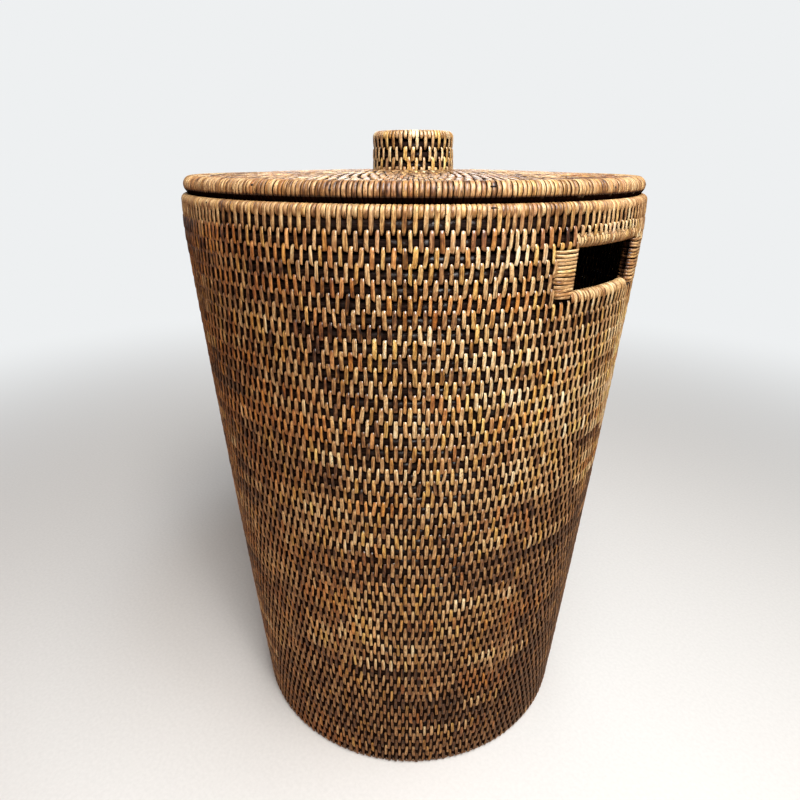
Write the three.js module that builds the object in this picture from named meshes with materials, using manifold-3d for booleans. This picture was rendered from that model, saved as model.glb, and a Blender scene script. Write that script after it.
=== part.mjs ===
// Round coiled laundry hamper with a lift-off lid and a woven knob.
// Millimetres, +Z up. The origin is the middle of the face it stands on,
// and the two hand slots lie on the X axis.
import * as THREE from 'three';
import { mergeVertices } from 'three/addons/utils/BufferGeometryUtils.js';
import Module from 'manifold-3d';

// Overall sizes of the body
const BODY_HEIGHT = 550;
const RIM_RADIUS = 208;
const FOOT_RADIUS = 175;
const WALL_BELLY = 1.7;
const RIM_DRAW_IN = 2;
const DRAW_IN_HEIGHT = 40;

// Coils: one row of bound cane after another, stacked up the wall
const WALL_THICKNESS = 10;
const ROW_HEIGHT = 10.4;
const WALL_GROOVE = 2.4;
const FLAT_GROOVE = 1.3;
const BASE_THICKNESS = 8;
const BASE_LIFT = 1.5;
const BASE_CROWN = 3;

// Hand slots, cut out of whole rows and framed with wrapped pieces
const SLOT_WIDTH = 82;
const SLOT_ROWS = 3;
const ROWS_OVER_SLOT = 2;
const JAMB_WIDTH = 18;
const JAMB_DEPTH = 12.5;
const JAMB_CORNER = 4;

// Rim hoop: a cane wrapped with split strip
const RIM_TUBE_RADIUS = 4.8;
const RIM_STRIP_THICKNESS = 1;

// Lid. Its edge lies a little inside the rim's, all round
const LID_INSET = 3;
const LID_TUBE_RADIUS = 7.2;
const LID_STRIP_THICKNESS = 1.4;
const LID_PANEL_THICKNESS = 9;
const LID_CROWN = 5;
const LID_PANEL_DROP = 1;

// Knob
const KNOB_RADIUS = 37;
const KNOB_HEIGHT = 32;
const KNOB_ROWS = 2;
const KNOB_WALL = 9;
const KNOB_CAP_HEIGHT = 10.4;
const KNOB_CORNER = 4.5;

// Clearance between pieces that touch, and how finely round shapes are cut
const GAP = 0.3;
const ROUND_SIDES = 28;
const STRIP_SIDES = 12;
const CANE_SIDES = 8;
const CORNER_STEPS = 3;
const SECTOR_STEPS = 6;
const INSIDE_ROWS_PER_STEP = 12;

// Heights that follow from the sizes above
const rimTubeZ = BODY_HEIGHT - RIM_TUBE_RADIUS;
const rimTubeR = RIM_RADIUS - RIM_TUBE_RADIUS;
const wallTop = BODY_HEIGHT - 2 * RIM_TUBE_RADIUS - GAP;
const rowCount = Math.round(wallTop / ROW_HEIGHT);
const rowPitch = wallTop / rowCount;
const headerRow = rowCount - ROWS_OVER_SLOT;
const sillRow = headerRow - SLOT_ROWS - 1;
const slotBottom = (sillRow + 1) * rowPitch;
const slotTop = headerRow * rowPitch;

// Outside radius of the wall: a cone with a slight belly that turns in under the rim
function wallRadius(z) {
  const t = z / BODY_HEIGHT;
  const cone = FOOT_RADIUS + (RIM_RADIUS + RIM_DRAW_IN - FOOT_RADIUS) * t;
  const turn = Math.max(0, 1 - (BODY_HEIGHT - z) / DRAW_IN_HEIGHT);
  return cone + 4 * WALL_BELLY * t * (1 - t) - RIM_DRAW_IN * turn * turn;
}

// Solids
const manifoldLibrary = await Module();
manifoldLibrary.setup();

function toSolid(geometry) {
  const bare = geometry.clone();
  bare.deleteAttribute('normal');
  bare.deleteAttribute('uv');
  const merged = mergeVertices(bare, 1e-4);
  const index = merged.index.array;
  const kept = [];
  for (let i = 0; i < index.length; i += 3) {
    const [a, b, c] = [index[i], index[i + 1], index[i + 2]];
    if (a !== b && b !== c && c !== a) {
      kept.push(a, b, c);
    }
  }
  const vertProperties = new Float32Array(merged.attributes.position.array);
  const triVerts = new Uint32Array(kept);
  const mesh = new manifoldLibrary.Mesh({ numProp: 3, vertProperties, triVerts });
  return new manifoldLibrary.Manifold(mesh);
}

function toGeometry(solid) {
  const mesh = solid.getMesh();
  const geometry = new THREE.BufferGeometry();
  geometry.setAttribute('position', new THREE.BufferAttribute(new Float32Array(mesh.vertProperties), 3));
  geometry.setIndex(new THREE.BufferAttribute(new Uint32Array(mesh.triVerts), 1));
  geometry.computeVertexNormals();
  return geometry;
}

// Turns a profile of [radius, height] points about Z. The profile runs upward on its
// outer side, and either starts and ends on the axis or closes on itself.
function revolve(profile) {
  const points = profile.map(([r, z]) => new THREE.Vector2(r, z));
  const onAxis = profile[0][0] === 0;
  if (!onAxis) {
    points.push(points[0].clone());
  }
  return toSolid(new THREE.LatheGeometry(points, ROUND_SIDES).rotateX(Math.PI / 2));
}

// A sector about Z between two angles, tall and wide enough to cut any ring
function sector(fromAngle, toAngle) {
  const reach = 2 * RIM_RADIUS;
  const shape = new THREE.Shape();
  shape.moveTo(0, 0);
  shape.lineTo(reach * Math.cos(fromAngle), reach * Math.sin(fromAngle));
  shape.absarc(0, 0, reach, fromAngle, toAngle, false);
  shape.closePath();
  const prism = new THREE.ExtrudeGeometry(shape, {
    depth: 2 * BODY_HEIGHT, bevelEnabled: false, curveSegments: SECTOR_STEPS,
  });
  return toSolid(prism);
}

// A box given by its lowest and highest corners
function block(low, high) {
  const size = high.map((value, i) => value - low[i]);
  const box = new THREE.BoxGeometry(...size);
  box.translate(...low.map((value, i) => value + size[i] / 2));
  return toSolid(box);
}

// Points round a tube's section, from the side towards the axis and back to it. The flats
// of the polygon lie on the true circle, and one of them faces the axis.
function tubeSection(centreR, centreZ, radius, sides) {
  const corner = radius / Math.cos(Math.PI / sides);
  const points = [];
  for (let i = 0; i < sides; i += 1) {
    const angle = -Math.PI + ((i + 0.5) * 2 * Math.PI) / sides;
    points.push([centreR + corner * Math.cos(angle), centreZ + corner * Math.sin(angle)]);
  }
  return points;
}

// Rows of the wall from one row to another, grooved outside and smooth inside
function wallRows(firstRow, lastRow, bottomGap) {
  const bottom = firstRow * rowPitch + bottomGap;
  const top = (lastRow + 1) * rowPitch;
  const outside = [[wallRadius(bottom) - WALL_GROOVE, bottom]];
  for (let row = firstRow; row <= lastRow; row += 1) {
    const crest = (row + 0.5) * rowPitch;
    const groove = (row + 1) * rowPitch;
    outside.push([wallRadius(crest), crest]);
    outside.push([wallRadius(groove) - WALL_GROOVE, groove]);
  }
  const insideSteps = Math.max(1, Math.round((lastRow - firstRow) / INSIDE_ROWS_PER_STEP));
  const inside = [];
  for (let step = insideSteps; step >= 0; step -= 1) {
    const z = bottom + ((top - bottom) * step) / insideSteps;
    inside.push([wallRadius(z) - WALL_THICKNESS, z]);
  }
  return revolve([...outside, ...inside]);
}

// Half the angle that a slot takes, measured in the middle of the wall
const slotWallR = wallRadius((slotBottom + slotTop) / 2) - WALL_THICKNESS / 2;
const slotAngle = Math.asin(SLOT_WIDTH / 2 / slotWallR);
const jambAngle = Math.asin((SLOT_WIDTH + JAMB_WIDTH) / 2 / slotWallR);

// What is taken out of a ring on both sides, within an angle of the X axis
function bothSides(angle) {
  const right = sector(-angle, angle);
  return right.add(right.rotate([0, 0, 180]));
}

const frameNotch = bothSides(slotAngle + GAP / slotWallR);

// The lower wall, with a notch in its top row where the wrapped sill goes
function lowerWall() {
  const notchFloor = sillRow * rowPitch;
  const notch = frameNotch.translate([0, 0, notchFloor]);
  return wallRows(0, sillRow, 0).subtract(notch);
}

// The rows beside the slots, as one arc in front and one behind
function slotRows(side) {
  const ring = wallRows(sillRow + 1, headerRow - 1, GAP);
  const halfCut = JAMB_WIDTH / 2 + GAP;
  let cut = bothSides(jambAngle);
  for (const angle of [jambAngle, Math.PI - jambAngle, Math.PI + jambAngle, -jambAngle]) {
    const seat = block([0, -halfCut, 0], [2 * RIM_RADIUS, halfCut, 2 * BODY_HEIGHT]);
    cut = cut.add(seat.rotate([0, 0, THREE.MathUtils.radToDeg(angle)]));
  }
  const half = block([-2 * RIM_RADIUS, 0, 0], [2 * RIM_RADIUS, 2 * RIM_RADIUS, 2 * BODY_HEIGHT]);
  const arcs = ring.subtract(cut);
  return side > 0 ? arcs.intersect(half) : arcs.intersect(half.rotate([0, 0, 180]));
}

// The rows over the slots, with a notch in the lowest where the wrapped header goes
function topRows() {
  const ring = wallRows(headerRow, rowCount - 1, GAP);
  const ceiling = (headerRow + 1) * rowPitch;
  return ring.subtract(frameNotch.translate([0, 0, ceiling - 2 * BODY_HEIGHT]));
}

// A wrapped coil over or under a slot, from one jamb to the other
function wrappedRail(row) {
  const z = (row + 0.5) * rowPitch;
  const radius = rowPitch / 2 - GAP;
  const ring = revolve(tubeSection(wallRadius(z) - WALL_THICKNESS / 2, z, radius, CANE_SIDES));
  return ring.intersect(sector(-slotAngle, slotAngle));
}

// A wrapped jamb: a round-cornered post that leans with the wall
function jambGeometry() {
  const [x, y, r] = [JAMB_DEPTH / 2, JAMB_WIDTH / 2, JAMB_CORNER];
  const shape = new THREE.Shape();
  shape.absarc(x - r, y - r, r, 0, Math.PI / 2, false);
  shape.absarc(r - x, y - r, r, Math.PI / 2, Math.PI, false);
  shape.absarc(r - x, r - y, r, Math.PI, 1.5 * Math.PI, false);
  shape.absarc(x - r, r - y, r, 1.5 * Math.PI, 2 * Math.PI, false);
  shape.closePath();
  const height = slotTop - slotBottom - GAP;
  const post = new THREE.ExtrudeGeometry(shape, {
    depth: height, bevelEnabled: false, curveSegments: CORNER_STEPS,
  });
  const lean = (wallRadius(slotTop) - wallRadius(slotBottom)) / (slotTop - slotBottom);
  post.applyMatrix4(new THREE.Matrix4().makeShear(0, 0, 0, 0, lean, 0));
  return toGeometry(toSolid(post));
}

// Coil rows laid flat as a disc, from the rim inward. The top is grooved and crowned.
function coiledDisc(radius, thickness, edgeZ, crown) {
  const rows = Math.round(radius / ROW_HEIGHT);
  const pitch = radius / rows;
  const rise = (r) => crown * (1 - (r / radius) ** 2);
  const underside = [];
  for (const share of [0, 0.5, 1]) {
    underside.push([radius * share, edgeZ + rise(radius * share)]);
  }
  const top = [[radius, edgeZ + thickness - FLAT_GROOVE]];
  for (let row = rows - 1; row >= 0; row -= 1) {
    const crest = (row + 0.5) * pitch;
    const groove = row * pitch;
    top.push([crest, edgeZ + thickness + rise(crest)]);
    top.push([groove, edgeZ + thickness + rise(groove) - (row > 0 ? FLAT_GROOVE : 0)]);
  }
  return revolve([...underside, ...top]);
}

function basePanel() {
  const radius = wallRadius(BASE_LIFT) - WALL_THICKNESS - GAP;
  return coiledDisc(radius, BASE_THICKNESS, BASE_LIFT, BASE_CROWN);
}

// Strip wound round a hoop: a tube with a slit where its ends tuck in, towards the axis
function windings(centreR, centreZ, radius, strip) {
  const outer = tubeSection(centreR, centreZ, radius, STRIP_SIDES);
  const inner = tubeSection(centreR, centreZ, radius - strip, CANE_SIDES);
  return revolve([...outer, ...inner.reverse()]);
}

function caneHoop(centreR, centreZ, radius) {
  return revolve(tubeSection(centreR, centreZ, radius, CANE_SIDES));
}

// The lid's edge rests in the mouth, on the inner shoulder of the rim hoop
const lidTubeR = RIM_RADIUS - LID_INSET - LID_TUBE_RADIUS;
const seatReach = (LID_TUBE_RADIUS + RIM_TUBE_RADIUS) / Math.cos(Math.PI / STRIP_SIDES) + GAP;
const lidTubeZ = rimTubeZ + Math.sqrt(seatReach ** 2 - (rimTubeR - lidTubeR) ** 2);
const lidPanelR = lidTubeR - LID_TUBE_RADIUS - GAP;
const lidPanelTop = lidTubeZ + LID_TUBE_RADIUS - LID_PANEL_DROP;

function lidPanel() {
  return coiledDisc(lidPanelR, LID_PANEL_THICKNESS, lidPanelTop - LID_PANEL_THICKNESS, LID_CROWN);
}

// The knob stands on the crown of the lid
const knobFootZ = lidPanelTop + LID_CROWN + GAP;
const knobCapZ = knobFootZ + KNOB_HEIGHT - KNOB_CAP_HEIGHT;

function knobSide() {
  const pitch = (knobCapZ - GAP - knobFootZ) / KNOB_ROWS;
  const outside = [[KNOB_RADIUS - FLAT_GROOVE, knobFootZ]];
  for (let row = 0; row < KNOB_ROWS; row += 1) {
    outside.push([KNOB_RADIUS, knobFootZ + (row + 0.5) * pitch]);
    outside.push([KNOB_RADIUS - FLAT_GROOVE, knobFootZ + (row + 1) * pitch]);
  }
  const inside = [
    [KNOB_RADIUS - KNOB_WALL, knobFootZ + KNOB_ROWS * pitch],
    [KNOB_RADIUS - KNOB_WALL, knobFootZ],
  ];
  return revolve([...outside, ...inside]);
}

function knobCap() {
  const top = knobCapZ + KNOB_CAP_HEIGHT;
  const profile = [[0, knobCapZ], [KNOB_RADIUS - FLAT_GROOVE, knobCapZ]];
  for (let step = 0; step <= CORNER_STEPS; step += 1) {
    const angle = (step * Math.PI) / 2 / CORNER_STEPS;
    const r = KNOB_RADIUS - KNOB_CORNER + KNOB_CORNER * Math.cos(angle);
    profile.push([r, top - KNOB_CORNER + KNOB_CORNER * Math.sin(angle)]);
  }
  const flat = KNOB_RADIUS - KNOB_CORNER;
  const rows = Math.round(flat / ROW_HEIGHT);
  for (let row = rows - 1; row > 0; row -= 1) {
    const groove = (row * flat) / rows;
    profile.push([groove, top - FLAT_GROOVE]);
    profile.push([groove - flat / rows / 2, top]);
  }
  profile.push([0, top]);
  return revolve(profile);
}

// Finishes
const finishes = {
  wall: { color: 0x9c7144, roughness: 0.55 },
  wrap: { color: 0xc09a63, roughness: 0.5 },
  lid: { color: 0xa67c4e, roughness: 0.55 },
  knob: { color: 0xa98455, roughness: 0.5 },
  cane: { color: 0x3a2415, roughness: 0.6 },
};

function piece(name, solidOrGeometry, finish) {
  const isGeometry = solidOrGeometry instanceof THREE.BufferGeometry;
  const geometry = isGeometry ? solidOrGeometry : toGeometry(solidOrGeometry);
  const material = new THREE.MeshStandardMaterial({ ...finishes[finish], metalness: 0, flatShading: true });
  const mesh = new THREE.Mesh(geometry, material);
  mesh.name = name;
  return mesh;
}

// Body
const body = new THREE.Group();
body.add(piece('base_panel', basePanel(), 'wall'));
body.add(piece('lower_wall', lowerWall(), 'wall'));
body.add(piece('front_slot_rows', slotRows(-1), 'wall'));
body.add(piece('back_slot_rows', slotRows(1), 'wall'));
body.add(piece('top_rows', topRows(), 'wall'));
const rimCaneRadius = RIM_TUBE_RADIUS - RIM_STRIP_THICKNESS - GAP;
body.add(piece('rim_cane', caneHoop(rimTubeR, rimTubeZ, rimCaneRadius), 'cane'));
body.add(piece('rim_wrap', windings(rimTubeR, rimTubeZ, RIM_TUBE_RADIUS, RIM_STRIP_THICKNESS), 'wrap'));

// Each slot is framed on the +X side. The left one is then turned half round.
for (const side of ['right', 'left']) {
  const towardsFront = side === 'right' ? -1 : 1;
  const slot = new THREE.Group();
  slot.rotation.z = side === 'right' ? 0 : Math.PI;
  slot.add(piece(`${side}_slot_header`, wrappedRail(headerRow), 'wrap'));
  slot.add(piece(`${side}_slot_sill`, wrappedRail(sillRow), 'wrap'));
  for (const end of ['front', 'back']) {
    const angle = (end === 'front' ? towardsFront : -towardsFront) * jambAngle;
    const foot = wallRadius(slotBottom) - WALL_THICKNESS / 2;
    const jamb = piece(`${side}_slot_${end}_jamb`, jambGeometry(), 'wrap');
    jamb.position.set(foot * Math.cos(angle), foot * Math.sin(angle), slotBottom + GAP);
    jamb.rotation.z = angle;
    slot.add(jamb);
  }
  body.add(slot);
}

// Lid
const lid = new THREE.Group();
lid.add(piece('lid_panel', lidPanel(), 'lid'));
const lidCaneRadius = LID_TUBE_RADIUS - LID_STRIP_THICKNESS - GAP;
lid.add(piece('lid_cane', caneHoop(lidTubeR, lidTubeZ, lidCaneRadius), 'cane'));
lid.add(piece('lid_wrap', windings(lidTubeR, lidTubeZ, LID_TUBE_RADIUS, LID_STRIP_THICKNESS), 'wrap'));
lid.add(piece('knob_side', knobSide(), 'knob'));
lid.add(piece('knob_cap', knobCap(), 'knob'));

const hamper = new THREE.Group();
hamper.add(body);
hamper.add(lid);

export default hamper;
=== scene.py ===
"""Round coiled rattan laundry hamper: its woven surfaces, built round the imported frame, in metres."""
import math

import bpy
import numpy as np
from mathutils import Matrix, Vector

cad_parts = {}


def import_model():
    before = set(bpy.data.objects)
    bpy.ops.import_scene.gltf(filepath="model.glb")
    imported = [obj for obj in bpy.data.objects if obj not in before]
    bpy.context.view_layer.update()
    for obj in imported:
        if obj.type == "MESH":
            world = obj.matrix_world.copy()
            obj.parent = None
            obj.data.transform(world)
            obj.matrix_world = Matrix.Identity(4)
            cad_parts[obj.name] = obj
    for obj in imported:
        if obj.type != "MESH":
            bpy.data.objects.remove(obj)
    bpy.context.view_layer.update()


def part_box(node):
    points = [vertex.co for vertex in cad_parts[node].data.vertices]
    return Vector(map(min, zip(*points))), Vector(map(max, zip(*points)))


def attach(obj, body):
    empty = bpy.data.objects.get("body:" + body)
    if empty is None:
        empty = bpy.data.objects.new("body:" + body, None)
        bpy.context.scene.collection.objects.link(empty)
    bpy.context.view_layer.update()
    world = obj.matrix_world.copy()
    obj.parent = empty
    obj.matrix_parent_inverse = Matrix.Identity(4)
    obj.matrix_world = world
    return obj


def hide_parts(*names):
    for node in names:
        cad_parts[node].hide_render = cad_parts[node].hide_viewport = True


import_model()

MM = 0.001
TURN = 2 * math.pi
SEED = 41
rng = np.random.default_rng(SEED)

# Wall, as in the frame: a cone with a slight belly that turns in under the rim
FOOT_RADIUS = 175 * MM
WALL_BELLY = 1.7 * MM
RIM_DRAW_IN = 2 * MM
DRAW_IN_HEIGHT = 40 * MM
WALL_THICKNESS = 10 * MM
ROW_HEIGHT = 10.4 * MM
ROWS_OVER_SLOT = 2
SLOT_ROWS = 3
rim_low, rim_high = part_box("rim_wrap")
BODY_HEIGHT = rim_high.z
RIM_RADIUS = rim_high.x
RIM_TUBE = (rim_high.z - rim_low.z) / 2
RIM_CENTRE = (RIM_RADIUS - RIM_TUBE, BODY_HEIGHT - RIM_TUBE)
WALL_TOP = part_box("top_rows")[1].z
ROW_COUNT = round(WALL_TOP / ROW_HEIGHT)
ROW_PITCH = WALL_TOP / ROW_COUNT
HEADER_ROW = ROW_COUNT - ROWS_OVER_SLOT
SILL_ROW = HEADER_ROW - SLOT_ROWS - 1

# The split strip: how thick it is, and how wide where it makes a stitch
STRIP = 0.95 * MM
STITCH_WIDTH = 3.2 * MM

# Slot frames: a wrapped rail above and below, and a wrapped jamb at each end
slot_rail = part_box("right_slot_header")[1]
SLOT_ANGLE = math.atan2(slot_rail.y, slot_rail.x)
JAMB_WIDTH = 18 * MM
JAMB_SPREAD = 3.5 * MM
JAMB_DEPTH = 11.4 * MM
JAMB_OUT = 1.4 * MM
JAMB_CORNER = 5 * MM
JAMB_FOOT_DROP = 4 * MM
JAMB_HEAD_RISE = 0.3 * MM
JAMB_FOOT_TUCK = 2.5 * MM
JAMB_CORE_GAP = 1.6 * MM
# How much painted shade darkens a jamb's side that faces into the slot
JAMB_PAINTED_SHADE = 0.6
JAMB_WRAPS = 13
JAMB_ANGLE = SLOT_ANGLE + JAMB_WIDTH / 2 / RIM_RADIUS
RAIL_TUBE = ROW_PITCH / 2 - STRIP * 0.8
RAIL_REACH = SLOT_ANGLE + 1.5 * MM / RIM_RADIUS
SILL_SHORT_END = 2.4 * MM
SILL_LEAN = 0.4 * MM
HEADER_WRAP_WIDTH = 3 * MM
HEADER_LEAN = 1.7 * MM
HEADER_RINGS = 18

# How the stitches of one row bridge two coils
STITCH_START = -0.3 * MM
STITCH_OVERRUN = 3.6 * MM
FOOT_OVERRUN = 2.4 * MM
STITCH_TILT = math.radians(0.7)
STITCH_SLOPE = -0.6 * MM
STITCH_BULGE = 0.2 * MM
TAIL_BEND = -0.2 * MM
TUCK_TOP = 1.6 * MM
TUCK_TAIL = 0.6 * MM

# How far one stitch differs from the next
START_SPREAD = 0.3 * MM
END_SPREAD = 0.4 * MM
LIFT_SPREAD = 0.1 * MM
TAIL_SPREAD = 0.25 * MM
TILT_SPREAD = 0.045
EDGE_WAVER = 0.035
WIDTH_SHARES = (0.78, 1.14)
BLUNT_SHARES = (0.0, 0.15)
POINT_SHARES = (0.12, 0.34)

# Most that a stitch takes of the room beside it, and the radius that sets its lean near a disc's middle
ROOM_SHARE = 0.62
LEAST_RADIUS = 4 * MM

# Canes, and the stitches at the foot, at the rim and on the flat coils
CANE_DEPTH = 3.7 * MM
CANE_OVERLAP = 0.1 * MM
CANE_WAVE = 0.12 * MM
FOOT_CANE_GAP = 0.6 * MM
FOOT_CLEARANCE = 0.75 * MM
FOOT_RINGS = 12
RIM_REACH = 1.4 * MM
RIM_SHORT_END = 3.6 * MM
RIM_LEAN = -0.6 * MM
FLAT_STITCH_PITCH = 6.8 * MM

# Stitches in a turn of the wall, at heights from foot to rim
STITCH_COUNTS = ((0, 158), (90 * MM, 163), (165 * MM, 180), (465 * MM, 186), (545 * MM, 204))

# Sections across a strip, as (share of half the width, share of the thickness), and where the sections
# stand along a stitch. PLAIN ones are for the sides that are seen less.
CROWNED = ((-0.84, 0), (-1, 0.5), (-0.7, 0.9), (0, 1), (0.7, 0.9), (1, 0.5), (0.84, 0))
PLAIN = ((-0.9, 0), (-0.75, 0.85), (0.75, 0.85), (0.9, 0))
ROUND = tuple((math.cos(a), -math.sin(a)) for a in np.linspace(0, TURN, 12, endpoint=False))
RING_SHARES = np.array([0, 0.05, 0.11, 0.2, 0.42, 0.66, 0.82, 0.94, 1])
PLAIN_SHARES = np.linspace(0, 1, 5)
RING_STEPS = 168


def smooth(x):
    x = np.clip(x, 0, 1)
    return x * x * (3 - 2 * x)


def full_turn(count):
    """This many angles, evenly spread round."""
    return np.linspace(0, TURN, count, endpoint=False)


def put_in_scene(name, data):
    obj = bpy.data.objects.new(name, data)
    bpy.context.scene.collection.objects.link(obj)
    return obj


def wall_radius(z):
    t = z / BODY_HEIGHT
    cone = FOOT_RADIUS + (RIM_RADIUS + RIM_DRAW_IN - FOOT_RADIUS) * t
    turn = np.maximum(0, 1 - (BODY_HEIGHT - z) / DRAW_IN_HEIGHT)
    return cone + 4 * WALL_BELLY * t * (1 - t) - RIM_DRAW_IN * turn * turn


def middle_radius(z):
    return wall_radius(z) - WALL_THICKNESS / 2


def coil_z(row):
    return (row + 0.5) * ROW_PITCH


def turned(angle, out, sideways, up):
    """Points or directions given outward, sideways and upward, as seen at this angle round the axis."""
    cos, sin = np.cos(angle), np.sin(angle)
    x, y = out * cos - sideways * sin, out * sin + sideways * cos
    return np.stack(np.broadcast_arrays(x, y, up), axis=-1)


class Strips:
    """Strips of one kind, gathered batch by batch and built as one mesh."""

    def __init__(self, section, closed=False):
        self.section = np.array(section, float)
        self.closed = closed
        self.batches = []

    def add(self, centre, across, outward, half_width, thickness, tints):
        """centre, across and outward are (strips, rings, 3); tints holds tone, warmth and a seed for each."""
        shape = centre.shape[:2]
        half_width = np.broadcast_to(half_width, shape)
        thickness = np.broadcast_to(thickness, shape)
        s, t = self.section.T
        points = (
            centre[:, :, None]
            + across[:, :, None] * (half_width[..., None] * s)[..., None]
            + outward[:, :, None] * (thickness[..., None] * t)[..., None]
        )
        steps = np.linalg.norm(np.diff(centre, axis=1), axis=2)
        along = np.concatenate([np.zeros((shape[0], 1)), np.cumsum(steps, axis=1)], axis=1)
        share = along / along[:, -1:]
        place = np.stack(np.broadcast_arrays(s, along[..., None] / MM, share[..., None]), axis=-1)
        middle = shape[1] // 2
        ahead = centre[:, middle] - centre[:, middle - 1]
        facing = np.cross(across[:, middle], ahead) * outward[:, middle]
        inside_out = facing.sum(axis=1).mean() < 0
        if self.section[1, 1] < self.section[0, 1]:
            inside_out = not inside_out
        tints = np.asarray(tints, float)
        if tints.ndim == 2:
            tints = np.repeat(tints[:, None], shape[1], axis=1)
        self.batches.append((points, place, tints, inside_out))

    def polar(self, angle, radius, height, tilt, half_width, thickness, tints, slant=0.0):
        """Strips whose rings lie at an angle, radius and height, facing outward at a tilt above the level.
        slant sets how far each ring is cut askew."""
        angle, radius, height, tilt, slant = np.broadcast_arrays(angle, radius, height, tilt, slant)
        centre = turned(angle, radius, 0, height)
        across = turned(angle, slant * np.sin(tilt), 1, -slant * np.cos(tilt))
        outward = turned(angle, np.cos(tilt), 0, np.sin(tilt))
        self.add(centre, across, outward, half_width, thickness, tints)

    def build(self, name, body, slot, material, replaces=()):
        m = len(self.section)
        verts, places, strips, quads, caps = [], [], [], [], []
        base = 0
        for points, place, tints, inside_out in self.batches:
            n, k = points.shape[:2]
            index = base + np.arange(n * k * m).reshape(n, k, m)
            base += n * k * m
            here, ahead = (index, np.roll(index, -1, 1)) if self.closed else (index[:, :-1], index[:, 1:])
            loop = [here, np.roll(here, -1, 2), np.roll(ahead, -1, 2), ahead]
            quads.append(np.stack(loop[::-1] if inside_out else loop, axis=3).reshape(-1, 4))
            if not self.closed:
                ends = np.stack([index[:, 0, ::-1], index[:, -1]], axis=1)
                caps.append((ends[..., ::-1] if inside_out else ends).reshape(-1, m))
            verts.append(points.reshape(-1, 3))
            places.append(place.reshape(-1, 3))
            strips.append(np.repeat(tints.reshape(-1, 3), m, axis=0))
        mesh = bpy.data.meshes.new(name)
        verts, quads = np.concatenate(verts), np.concatenate(quads)
        caps = np.concatenate(caps) if caps else np.zeros((0, m), int)
        mesh.vertices.add(len(verts))
        mesh.vertices.foreach_set("co", verts.ravel())
        mesh.loops.add(quads.size + caps.size)
        mesh.loops.foreach_set("vertex_index", np.concatenate([quads.ravel(), caps.ravel()]))
        starts = np.concatenate([np.arange(len(quads)) * 4, quads.size + np.arange(len(caps)) * m])
        mesh.polygons.add(len(starts))
        mesh.polygons.foreach_set("loop_start", starts)
        mesh.update(calc_edges=True)
        mesh.shade_smooth()
        for label, values in (("place", places), ("strip", strips)):
            attribute = mesh.attributes.new(label, "FLOAT_VECTOR", "POINT")
            attribute.data.foreach_set("vector", np.concatenate(values).ravel())
        self.map_cells(mesh)
        mesh.materials.append(material)
        obj = put_in_scene(name, mesh)
        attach(obj, body)
        if replaces:
            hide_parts(*replaces)

    def map_cells(self, mesh):
        """Lays each strip out in a cell of its own, with its two ends beside it."""
        edge, end, girth = 0.06, 0.08, 2.4
        m = len(self.section)
        total = sum(len(points) for points, *_ in self.batches)
        lengths = [place[:, -1, 0, 1].mean() for _, place, *_ in self.batches]
        spreads = [np.ptp(points[:, 1], axis=1) for points, *_ in self.batches]
        widths = [np.linalg.norm(spread, axis=1).mean() / MM for spread in spreads]
        aspect = max(0.05, girth * np.mean(widths) / max(np.mean(lengths), 1))
        columns = max(1, math.ceil(math.sqrt(total / aspect)))
        lines = math.ceil(total / columns)
        quads, caps, first = [], [], 0
        section = self.section / 2 + 0.5
        for points, _, _, inside_out in self.batches:
            n, k = points.shape[:2]
            cell = first + np.arange(n)
            first += n
            low = np.stack([cell % columns / columns, cell // columns / lines], axis=1)
            size = np.array([1 / columns, 1 / lines])
            spans = k if self.closed else k - 1
            u = edge + (1 - 2 * edge) * np.arange(m + 1) / m
            v = 2 * end + (1 - 4 * end) * np.arange(spans + 1) / spans
            corner = [(0, 0), (0, 1), (1, 1), (1, 0)]
            if inside_out:
                corner = corner[::-1]
            uv = np.zeros((spans, m, 4, 2))
            for c, (di, dj) in enumerate(corner):
                uv[:, :, c, 0] = u[None, dj:dj + m]
                uv[:, :, c, 1] = v[di:di + spans, None]
            quads.append((low[:, None] + uv.reshape(-1, 2)[None] * size).reshape(-1, 2))
            if not self.closed:
                shape = section[::-1] if inside_out else section
                ends = np.stack([shape[::-1], shape]) * (1 - 2 * edge, end)
                ends += np.array([(edge, edge / 2), (edge, 1 - end - edge / 2)])[:, None]
                caps.append((low[:, None] + ends.reshape(-1, 2)[None] * size).reshape(-1, 2))
        layer = mesh.uv_layers.new(name="OFBake")
        layer.uv.foreach_set("vector", np.concatenate(quads + caps).ravel())


# Colour: neighbouring stitches come from one strip and share its tone, until the next strip takes over
def drift(count, reach):
    """Smooth noise round a closed row, changing over about this many stitches."""
    knots = max(3, round(count / reach))
    values = rng.normal(0, 1, knots)
    at = np.arange(count) / count * knots
    low = np.floor(at).astype(int)
    share = smooth(at - low)
    return values[low % knots] * (1 - share) + values[(low + 1) % knots] * share


def with_seeds(tone, warmth):
    return np.stack([np.clip(tone, 0, 1), np.clip(warmth, 0, 1), rng.random(len(tone))], axis=1)


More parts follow.
